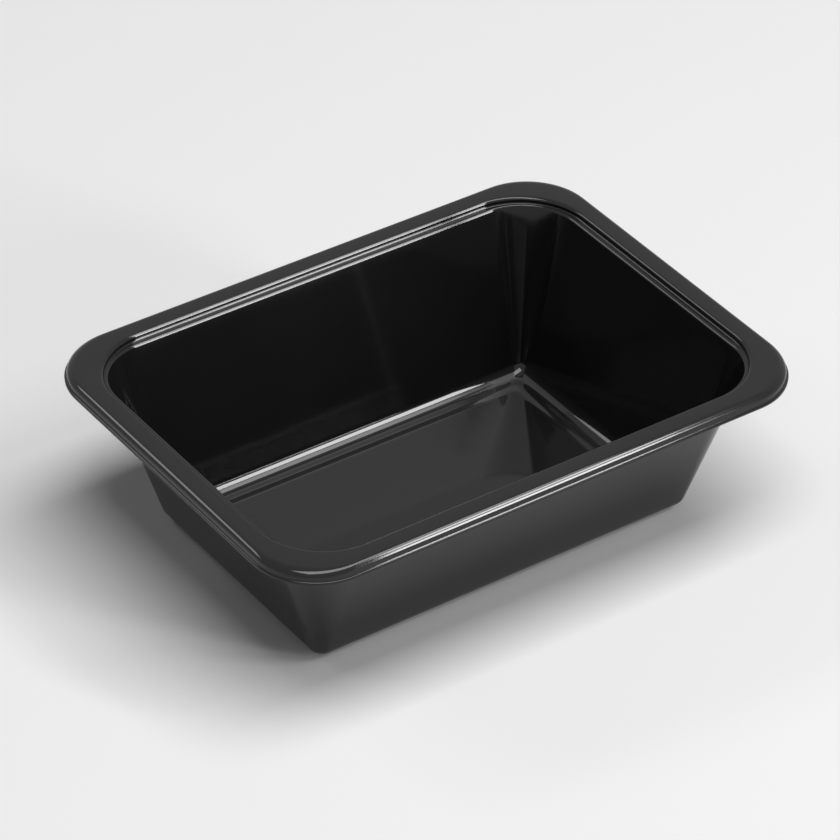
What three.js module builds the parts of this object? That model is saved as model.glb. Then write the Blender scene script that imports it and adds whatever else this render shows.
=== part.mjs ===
// Rectangular meal tray, formed from one sheet of black plastic.
// Units are millimetres. The long side lies along X, Z is up, and the tray stands on Z = 0.
import * as THREE from "three";

// Overall size and sheet
const LENGTH = 187;
const WIDTH = 137;
const HEIGHT = 55;
const GAUGE = 0.6;

// Rim: a flat flange that turns down into a skirt and out again into a narrow trimmed lip
const LIP_DROP = 3.2;
const LIP_WIDTH = 0.6;
const LIP_FILLET = 0.5;
const SKIRT_LEAN = 0.15;
const SKIRT_EDGE_RADIUS = 2.0;
const FLANGE_WIDTH = 7.2;
const FLANGE_EDGE_RADIUS = 1.0;

// Ledge just inside the flange
const LEDGE_DEPTH = 2.0;
const LEDGE_LEAN = 0.15;
const LEDGE_FILLET = 0.6;
const LEDGE_WIDTH = 1.85;
const LEDGE_EDGE_RADIUS = 1.0;

// Wall, which leans in on its way down to the floor
const WALL_LEAN = 16.85;
const FLOOR_FILLET = 5.0;

// Floor: a narrow flat ring at the foot of the wall, round a centre panel that lies a little lower
const RING_WIDTH = 5.2;
const PANEL_LEAN = 2.0;
const PANEL_DROP = 0.4;
const RING_EDGE_RADIUS = 6.0;
const PANEL_FILLET = 6.0;
const PANEL_SEAM = 1.5;

// Corner radii seen from above
const LIP_CORNER = 21.0;
const FLANGE_CORNER = 22.7;
const WALL_TOP_CORNER = 18.8;
const WALL_FOOT_CORNER = 2.5;
const PANEL_CORNER = 2.0;

// Mesh fineness
const CORNER_STEPS = 9;
const SMALL_ARC_STEP = 16;
const LARGE_ARC_STEP = 10;
const LARGE_ARC_RADIUS = 3;

// Section of the upper skin, walked from the trimmed edge to the middle of the floor. Each bend
// has an inset from the edge, a height, the corner radius seen from above and its own fillet.
function sectionBends() {
  const lipZ = HEIGHT - LIP_DROP;
  const ledgeZ = HEIGHT - LEDGE_DEPTH;
  const panelZ = GAUGE;
  const ringZ = panelZ + PANEL_DROP;
  const skirtFoot = LIP_WIDTH;
  const skirtTop = skirtFoot + SKIRT_LEAN;
  const flangeEdge = skirtTop + FLANGE_WIDTH;
  const ledgeFoot = flangeEdge + LEDGE_LEAN;
  const ledgeEdge = ledgeFoot + LEDGE_WIDTH;
  const wallFoot = ledgeEdge + WALL_LEAN;
  const ringEdge = wallFoot + RING_WIDTH;
  const panelEdge = ringEdge + PANEL_LEAN;
  const panelSeam = panelEdge + PANEL_SEAM;
  return [
    { inset: 0, z: lipZ, corner: LIP_CORNER, fillet: 0 },
    { inset: skirtFoot, z: lipZ, corner: LIP_CORNER - skirtFoot, fillet: LIP_FILLET },
    { inset: skirtTop, z: HEIGHT, corner: LIP_CORNER - skirtTop, fillet: SKIRT_EDGE_RADIUS },
    { inset: flangeEdge, z: HEIGHT, corner: FLANGE_CORNER, fillet: FLANGE_EDGE_RADIUS },
    { inset: ledgeFoot, z: ledgeZ, corner: FLANGE_CORNER - LEDGE_LEAN, fillet: LEDGE_FILLET },
    { inset: ledgeEdge, z: ledgeZ, corner: WALL_TOP_CORNER, fillet: LEDGE_EDGE_RADIUS },
    { inset: wallFoot, z: ringZ, corner: WALL_FOOT_CORNER, fillet: FLOOR_FILLET },
    { inset: ringEdge, z: ringZ, corner: PANEL_CORNER, fillet: RING_EDGE_RADIUS },
    { inset: panelEdge, z: panelZ, corner: PANEL_CORNER, fillet: PANEL_FILLET },
    { inset: panelSeam, z: panelZ, corner: PANEL_CORNER, fillet: 0 },
  ];
}

// One point of the section: its place, its plan corner radius and the unit normal of the sheet.
function sectionPoint(inset, z, corner, heading) {
  return { inset, z, corner, nInset: -Math.sin(heading), nZ: Math.cos(heading) };
}

// The section with every bend rounded to its fillet.
function roundedSection(bends) {
  const headingOf = (p, q) => Math.atan2(q.z - p.z, q.inset - p.inset);
  const along = (p, q, distance) => {
    const share = distance / Math.hypot(q.inset - p.inset, q.z - p.z);
    return {
      inset: p.inset + (q.inset - p.inset) * share,
      z: p.z + (q.z - p.z) * share,
      corner: p.corner + (q.corner - p.corner) * share,
    };
  };
  const last = bends.length - 1;
  const points = [];
  points.push(sectionPoint(bends[0].inset, bends[0].z, bends[0].corner, 0));
  for (let i = 1; i < last; i++) {
    const bend = bends[i];
    const headIn = headingOf(bends[i - 1], bend);
    const headOut = headingOf(bend, bends[i + 1]);
    const turn = headOut - headIn;
    const side = Math.sign(turn);
    const reach = bend.fillet * Math.tan(Math.abs(turn) / 2);
    const start = along(bend, bends[i - 1], reach);
    const end = along(bend, bends[i + 1], reach);
    const centreInset = start.inset - side * bend.fillet * Math.sin(headIn);
    const centreZ = start.z + side * bend.fillet * Math.cos(headIn);
    const step = bend.fillet > LARGE_ARC_RADIUS ? LARGE_ARC_STEP : SMALL_ARC_STEP;
    const count = Math.max(2, Math.ceil(THREE.MathUtils.radToDeg(Math.abs(turn)) / step));
    for (let k = 0; k <= count; k++) {
      const t = k / count;
      const heading = headIn + turn * t;
      const corner =
        start.corner * (1 - t) * (1 - t) + 2 * bend.corner * t * (1 - t) + end.corner * t * t;
      const inset = centreInset + side * bend.fillet * Math.sin(heading);
      const z = centreZ - side * bend.fillet * Math.cos(heading);
      points.push(sectionPoint(inset, z, corner, heading));
    }
  }
  points.push(sectionPoint(bends[last].inset, bends[last].z, bends[last].corner, 0));
  return points;
}

// The same point on the lower skin, one gauge further into the sheet.
function throughSheet(point) {
  const inset = point.inset - GAUGE * point.nInset;
  const z = point.z - GAUGE * point.nZ;
  return { inset, z, corner: point.corner + point.inset - inset };
}

// Rounded rectangle at one level, anticlockwise seen from above.
function ring(point) {
  const halfX = LENGTH / 2 - point.inset - point.corner;
  const halfY = WIDTH / 2 - point.inset - point.corner;
  const centres = [
    [halfX, halfY],
    [-halfX, halfY],
    [-halfX, -halfY],
    [halfX, -halfY],
  ];
  const out = [];
  centres.forEach(([x, y], quarter) => {
    for (let k = 0; k <= CORNER_STEPS; k++) {
      const angle = (quarter + k / CORNER_STEPS) * (Math.PI / 2);
      const px = x + point.corner * Math.cos(angle);
      const py = y + point.corner * Math.sin(angle);
      out.push([px, py, point.z]);
    }
  });
  return out;
}

// Closed mesh: the upper skin, the lower skin turned over, and the cut edge between them.
function sheetGeometry(section) {
  const upper = section.map(ring);
  const lower = section.map((point) => ring(throughSheet(point)));
  const size = upper[0].length;
  const positions = [];
  const indices = [];
  const addRing = (points) => {
    const first = positions.length / 3;
    points.forEach((p) => positions.push(...p));
    return first;
  };
  const band = (from, to) => {
    for (let i = 0; i < size; i++) {
      const j = (i + 1) % size;
      indices.push(from + i, from + j, to + j);
      indices.push(from + i, to + j, to + i);
    }
  };
  const cap = (from, z, facingUp) => {
    const centre = addRing([[0, 0, z]]);
    for (let i = 0; i < size; i++) {
      const j = (i + 1) % size;
      if (facingUp) indices.push(from + i, from + j, centre);
      else indices.push(from + j, from + i, centre);
    }
  };
  const upperStarts = upper.map(addRing);
  const lowerStarts = lower.map(addRing);
  const last = section.length - 1;
  for (let i = 0; i < last; i++) {
    band(upperStarts[i], upperStarts[i + 1]);
    band(lowerStarts[i + 1], lowerStarts[i]);
  }
  band(lowerStarts[0], upperStarts[0]);
  cap(upperStarts[last], section[last].z, true);
  cap(lowerStarts[last], section[last].z - GAUGE, false);
  const geometry = new THREE.BufferGeometry();
  geometry.setAttribute("position", new THREE.Float32BufferAttribute(positions, 3));
  geometry.setIndex(indices);
  geometry.computeVertexNormals();
  return geometry;
}

const plastic = new THREE.MeshStandardMaterial({ color: 0x141415, roughness: 0.22, metalness: 0 });
const tray = new THREE.Mesh(sheetGeometry(roundedSection(sectionBends())), plastic);
tray.name = "tray";

const part = new THREE.Group();
part.add(tray);

export default part;
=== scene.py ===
"""Rectangular black plastic meal tray, photographed from above on a pale ground."""

import math

import bpy
import numpy as np
from mathutils import Matrix, Vector

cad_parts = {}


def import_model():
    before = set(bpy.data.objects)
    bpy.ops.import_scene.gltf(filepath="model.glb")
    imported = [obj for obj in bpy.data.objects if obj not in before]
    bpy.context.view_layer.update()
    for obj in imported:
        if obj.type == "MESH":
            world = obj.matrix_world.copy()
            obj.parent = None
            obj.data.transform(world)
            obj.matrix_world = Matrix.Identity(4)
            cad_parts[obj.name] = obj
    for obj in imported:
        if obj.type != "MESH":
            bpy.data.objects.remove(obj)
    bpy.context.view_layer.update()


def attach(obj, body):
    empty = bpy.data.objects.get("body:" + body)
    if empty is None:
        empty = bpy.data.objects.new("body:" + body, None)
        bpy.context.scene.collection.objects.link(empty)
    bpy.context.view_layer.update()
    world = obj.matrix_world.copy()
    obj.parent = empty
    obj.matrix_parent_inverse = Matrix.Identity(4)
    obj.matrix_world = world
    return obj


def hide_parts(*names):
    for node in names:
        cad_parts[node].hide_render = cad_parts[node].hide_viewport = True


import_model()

# Metres in a millimetre
MM = 0.001

# Sizes in millimetres, the same as the solid part
LENGTH, WIDTH, HEIGHT, GAUGE = 187.0, 137.0, 55.0, 0.6
LIP_DROP, LIP_WIDTH, LIP_FILLET = 3.2, 0.6, 0.5
SKIRT_LEAN, SKIRT_EDGE_RADIUS = 0.15, 2.0
FLANGE_WIDTH, FLANGE_EDGE_RADIUS = 7.2, 1.0
LEDGE_DEPTH, LEDGE_LEAN, LEDGE_FILLET = 2.0, 0.15, 0.6
LEDGE_WIDTH, LEDGE_EDGE_RADIUS = 1.85, 1.0
WALL_LEAN, FLOOR_FILLET = 16.85, 5.0
RING_WIDTH, PANEL_LEAN, PANEL_DROP = 5.2, 2.0, 0.4
RING_EDGE_RADIUS, PANEL_FILLET, PANEL_SEAM = 6.0, 6.0, 1.5
LIP_CORNER, FLANGE_CORNER, WALL_TOP_CORNER = 21.0, 22.7, 18.8
WALL_FOOT_CORNER, PANEL_CORNER = 2.5, 2.0

# Fineness of the mesh: angles in degrees, the longest straight in millimetres
ARC_STEP, LEAST_ARC_STEPS, LONGEST_STRAIGHT = 6.0, 4, 4.0
CORNER_STEPS, SIDE_STEPS = 18, 10
SHARP_ANGLE = 50.0

# Black plastic: colour and roughness between two values, waviness height in metres
PLASTIC_IOR = 1.45
DARK_TINT, LIGHT_TINT = (0.006, 0.006, 0.0062, 1), (0.010, 0.010, 0.0103, 1)
LEAST_ROUGHNESS, MOST_ROUGHNESS = 0.05, 0.10
CLOUD_SCALE, CLOUD_DETAIL = 28.0, 4.0
WAVE_SCALE, WAVE_DETAIL, WAVE_STRENGTH, WAVE_HEIGHT = 22.0, 3.0, 0.12, 0.0006

# Ground: a square with its half side and level in metres
GROUND_GREY, GROUND_VARIATION = 0.86, 0.005
GROUND_SCALE, GROUND_DETAIL = 3.0, 2.0
GROUND_HALF, GROUND_LEVEL = 3.0, -0.0002

# Light: distance and aim in metres; each lamp has two directions and two extents in degrees,
# where along runs from overhead to the front, and then its radiance
WORLD_AMBIENT, WORLD_SEEN = 0.04, 0.60
LAMP_DISTANCE, LAMP_AIM_HEIGHT = 2.4, 0.03
LAMPS = (
    ("overhead", 4.0, 9.0, 52.0, 26.0, 5.6),
    ("back", -27.4, -47.2, 30.0, 9.0, 4.0),
    ("strip_high", 27.8, 38.5, 6.6, 21.0, 18.0),
    ("strip_low", 27.8, 76.0, 6.6, 25.0, 24.0),
)

# Camera matched to the photograph: angles in degrees, distance and offsets in millimetres
CAMERA_AZIMUTH, CAMERA_ELEVATION, CAMERA_ROLL = -35.896, 36.452, 1.328
CAMERA_DISTANCE, CAMERA_RIGHT, CAMERA_UP = 1417.0, -1.215, 27.713
FOCAL_PIXELS, IMAGE_PIXELS, SENSOR_WIDTH = 4664.3, 840.0, 36.0
CAMERA_CLIP_END = 50.0


def section_bends():
    """Bends of the upper skin from the trimmed edge to the floor: inset, height, corner, fillet."""
    lip_z = HEIGHT - LIP_DROP
    ledge_z = HEIGHT - LEDGE_DEPTH
    panel_z = GAUGE
    ring_z = panel_z + PANEL_DROP
    skirt_foot = LIP_WIDTH
    skirt_top = skirt_foot + SKIRT_LEAN
    flange_edge = skirt_top + FLANGE_WIDTH
    ledge_foot = flange_edge + LEDGE_LEAN
    ledge_edge = ledge_foot + LEDGE_WIDTH
    wall_foot = ledge_edge + WALL_LEAN
    ring_edge = wall_foot + RING_WIDTH
    panel_edge = ring_edge + PANEL_LEAN
    return [
        (0.0, lip_z, LIP_CORNER, 0.0),
        (skirt_foot, lip_z, LIP_CORNER - skirt_foot, LIP_FILLET),
        (skirt_top, HEIGHT, LIP_CORNER - skirt_top, SKIRT_EDGE_RADIUS),
        (flange_edge, HEIGHT, FLANGE_CORNER, FLANGE_EDGE_RADIUS),
        (ledge_foot, ledge_z, FLANGE_CORNER - LEDGE_LEAN, LEDGE_FILLET),
        (ledge_edge, ledge_z, WALL_TOP_CORNER, LEDGE_EDGE_RADIUS),
        (wall_foot, ring_z, WALL_FOOT_CORNER, FLOOR_FILLET),
        (ring_edge, ring_z, PANEL_CORNER, RING_EDGE_RADIUS),
        (panel_edge, panel_z, PANEL_CORNER, PANEL_FILLET),
        (panel_edge + PANEL_SEAM, panel_z, PANEL_CORNER, 0.0),
    ]


def rounded_section(bends):
    """Section points (inset, z, corner, heading) with each bend rounded to its fillet."""
    bends = [np.array(b, float) for b in bends]
    points = [(*bends[0][:3], 0.0)]
    for before, bend, after in zip(bends, bends[1:], bends[2:]):
        head_in = math.atan2(bend[1] - before[1], bend[0] - before[0])
        head_out = math.atan2(after[1] - bend[1], after[0] - bend[0])
        turn = head_out - head_in
        side = math.copysign(1.0, turn)
        fillet = bend[3]
        reach = fillet * math.tan(abs(turn) / 2)
        start = bend + (before - bend) * reach / math.hypot(*(before - bend)[:2])
        end = bend + (after - bend) * reach / math.hypot(*(after - bend)[:2])
        centre_inset = start[0] - side * fillet * math.sin(head_in)
        centre_z = start[1] + side * fillet * math.cos(head_in)
        count = max(LEAST_ARC_STEPS, math.ceil(math.degrees(abs(turn)) / ARC_STEP))
        for k in range(count + 1):
            t = k / count
            heading = head_in + turn * t
            corner = start[2] * (1 - t) ** 2 + 2 * bend[2] * t * (1 - t) + end[2] * t * t
            inset = centre_inset + side * fillet * math.sin(heading)
            z = centre_z - side * fillet * math.cos(heading)
            points.append((inset, z, corner, heading))
    points.append((*bends[-1][:3], 0.0))
    return points


def refined(points):
    """The section with its long straights cut into shorter steps."""
    out = [points[0]]
    for a, b in zip(points, points[1:]):
        run = math.hypot(b[0] - a[0], b[1] - a[1])
        steps = max(1, math.ceil(run / LONGEST_STRAIGHT))
        for k in range(1, steps + 1):
            t = k / steps
            out.append(tuple(a[i] + (b[i] - a[i]) * t for i in range(4)))
    return out


def ring(inset, z, corner):
    """Rounded rectangle at one level, anticlockwise from above, with points along the sides."""
    half_x = LENGTH / 2 - inset - corner
    half_y = WIDTH / 2 - inset - corner
    centres = [(half_x, half_y), (-half_x, half_y), (-half_x, -half_y), (half_x, -half_y)]
    arcs = []
    for quarter, (x, y) in enumerate(centres):
        angles = (quarter + np.arange(CORNER_STEPS + 1) / CORNER_STEPS) * math.pi / 2
        arcs.append(np.c_[x + corner * np.cos(angles), y + corner * np.sin(angles)])
    rows = []
    for quarter in range(4):
        rows.append(arcs[quarter])
        a, b = arcs[quarter][-1], arcs[(quarter + 1) % 4][0]
        t = (np.arange(1, SIDE_STEPS) / SIDE_STEPS)[:, None]
        rows.append(a + (b - a) * t)
    flat = np.vstack(rows)
    return np.c_[flat, np.full(len(flat), z)]


def sheet_mesh():
    """Closed sheet: upper skin, lower skin and the cut edge, with a flat cap at the middle."""
    section = refined(rounded_section(section_bends()))
    upper = [ring(i, z, c) for i, z, c, _ in section]
    lower = []
    for inset, z, corner, heading in section:
        through = inset + GAUGE * math.sin(heading)
        lower.append(ring(through, z - GAUGE * math.cos(heading), corner + inset - through))
    size = len(upper[0])
    count = len(section)
    verts = np.vstack(upper + lower)
    faces = []

    def band(a, b):
        for i in range(size):
            j = (i + 1) % size
            faces.append((a + i, a + j, b + j, b + i))

    for k in range(count - 1):
        band(k * size, (k + 1) * size)
        band((count + k + 1) * size, (count + k) * size)
    band(count * size, 0)
    last = (count - 1) * size
    faces.append(tuple(range(last, last + size)))
    last += count * size
    faces.append(tuple(range(last + size - 1, last - 1, -1)))
    return verts, faces


def linked_object(name, data):
    obj = bpy.data.objects.new(name, data)
    bpy.context.scene.collection.objects.link(obj)
    return obj


def tray_object():
    verts, faces = sheet_mesh()
    mesh = bpy.data.meshes.new("tray_sheet")
    mesh.from_pydata((verts * MM).tolist(), [], faces)
    mesh.materials.append(plastic_material())
    mesh.update()
    mesh.validate()
    mesh.polygons.foreach_set("use_smooth", [True] * len(mesh.polygons))
    mesh.set_sharp_from_angle(angle=math.radians(SHARP_ANGLE))
    return linked_object("tray_sheet", mesh)


def new_material(name):
    """A material with its nodes, links and shader, and a function that adds a noise texture."""
    mat = bpy.data.materials.new(name)
    mat.use_nodes = True
    nodes, links = mat.node_tree.nodes, mat.node_tree.links
    coord = nodes.new("ShaderNodeTexCoord")

    def noise(scale, detail):
        texture = nodes.new("ShaderNodeTexNoise")
        texture.inputs["Scale"].default_value = scale
        texture.inputs["Detail"].default_value = detail
        links.new(coord.outputs["Object"], texture.inputs["Vector"])
        return texture.outputs["Fac"]

    return mat, nodes, links, nodes["Principled BSDF"], noise


def plastic_material():
    """Black glossy sheet: faint clouding in colour and gloss, and slight waviness."""
    mat, nodes, links, shader, noise = new_material("black_plastic")
    shader.inputs["IOR"].default_value = PLASTIC_IOR
    cloud = noise(CLOUD_SCALE, CLOUD_DETAIL)
    tint = nodes.new("ShaderNodeMix")
    tint.data_type = "RGBA"
    tint.inputs["A"].default_value = DARK_TINT
    tint.inputs["B"].default_value = LIGHT_TINT
    links.new(cloud, tint.inputs["Factor"])
    links.new(tint.outputs["Result"], shader.inputs["Base Color"])
    rough = nodes.new("ShaderNodeMapRange")
    rough.inputs["To Min"].default_value = LEAST_ROUGHNESS
    rough.inputs["To Max"].default_value = MOST_ROUGHNESS
    links.new(cloud, rough.inputs["Value"])
    links.new(rough.outputs["Result"], shader.inputs["Roughness"])
    bump = nodes.new("ShaderNodeBump")
    bump.inputs["Strength"].default_value = WAVE_STRENGTH
    bump.inputs["Distance"].default_value = WAVE_HEIGHT
    links.new(noise(WAVE_SCALE, WAVE_DETAIL), bump.inputs["Height"])
    links.new(bump.outputs["Normal"], shader.inputs["Normal"])
    return mat


def ground_material():
    """Matt pale grey with a faint variation."""
    mat, nodes, links, shader, noise = new_material("pale_ground")
    tint = nodes.new("ShaderNodeMapRange")
    tint.inputs["To Min"].default_value = GROUND_GREY - GROUND_VARIATION
    tint.inputs["To Max"].default_value = GROUND_GREY + GROUND_VARIATION
    links.new(noise(GROUND_SCALE, GROUND_DETAIL), tint.inputs["Value"])
    links.new(tint.outputs["Result"], shader.inputs["Base Color"])
    shader.inputs["Roughness"].default_value = 1.0
    shader.inputs["Specular IOR Level"].default_value = 0.0
    return mat


def ground_object():
    half = GROUND_HALF
    mesh = bpy.data.meshes.new("ground")
    corners = [(-half, -half, 0), (half, -half, 0), (half, half, 0), (-half, half, 0)]
    mesh.from_pydata(corners, [], [(0, 1, 2, 3)])
    mesh.materials.append(ground_material())
    obj = linked_object("ground", mesh)
    obj.location.z = GROUND_LEVEL
    return obj


def placed(side, up, out, place):
    """Matrix of an object at a place, with its three axes along these directions."""
    matrix = Matrix((side, up, out)).transposed().to_4x4()
    matrix.translation = place
    return matrix


def lamp(name, across, along, width, length, radiance):
    """Rectangular lamp that faces the tray."""
    x, a = math.radians(across), math.radians(along)
    out = Vector((math.sin(x), -math.cos(x) * math.sin(a), math.cos(x) * math.cos(a)))
    side = Vector((math.cos(x), math.sin(x) * math.sin(a), -math.sin(x) * math.cos(a)))
    light = bpy.data.lights.new(name, "AREA")
    light.shape = "RECTANGLE"
    light.size = 2 * LAMP_DISTANCE * math.tan(math.radians(width / 2))
    light.size_y = 2 * LAMP_DISTANCE * math.tan(math.radians(length / 2))
    light.energy = radiance * math.pi * light.size * light.size_y
    place = Vector((0, 0, LAMP_AIM_HEIGHT)) + out * LAMP_DISTANCE
    linked_object(name, light).matrix_world = placed(side, out.cross(side), out, place)


def world():
    """Even surroundings: dim as a light, pale where they are seen directly or in a reflection."""
    bpy.context.scene.world = bpy.data.worlds.new("studio")
    bpy.context.scene.world.use_nodes = True
    tree = bpy.context.scene.world.node_tree
    nodes, links = tree.nodes, tree.links
    path = nodes.new("ShaderNodeLightPath")
    seen = path.outputs["Is Camera Ray"]
    for ray in ("Is Glossy Ray", "Is Transmission Ray"):
        either = nodes.new("ShaderNodeMath")
        either.operation = "MAXIMUM"
        links.new(seen, either.inputs[0])
        links.new(path.outputs[ray], either.inputs[1])
        seen = either.outputs[0]
    mix = nodes.new("ShaderNodeMix")
    mix.data_type = "RGBA"
    mix.inputs["A"].default_value = (*[WORLD_AMBIENT] * 3, 1)
    mix.inputs["B"].default_value = (*[WORLD_SEEN] * 3, 1)
    links.new(seen, mix.inputs["Factor"])
    links.new(mix.outputs["Result"], nodes["Background"].inputs["Color"])


def camera():
    angles = (CAMERA_AZIMUTH, CAMERA_ELEVATION, CAMERA_ROLL)
    azimuth, elevation, roll = (math.radians(v) for v in angles)
    level = math.cos(elevation)
    back = Vector((math.sin(azimuth) * level, -math.cos(azimuth) * level, math.sin(elevation)))
    right = Vector((0, 0, 1)).cross(back).normalized()
    up = back.cross(right)
    c, s = math.cos(roll), math.sin(roll)
    right, up = right * c + up * s, right * -s + up * c
    place = (back * CAMERA_DISTANCE + right * CAMERA_RIGHT + up * CAMERA_UP) * MM
    cam = bpy.data.cameras.new("camera")
    cam.sensor_width = SENSOR_WIDTH
    cam.lens = FOCAL_PIXELS / IMAGE_PIXELS * SENSOR_WIDTH
    cam.clip_end = CAMERA_CLIP_END
    obj = linked_object("camera", cam)
    obj.matrix_world = placed(right, up, back, place)
    bpy.context.scene.camera = obj


tray = tray_object()
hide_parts("tray")
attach(tray, "root")
ground = ground_object()
world()
for values in LAMPS:
    lamp(*values)
camera()
bpy.context.scene.view_settings.view_transform = "Standard"
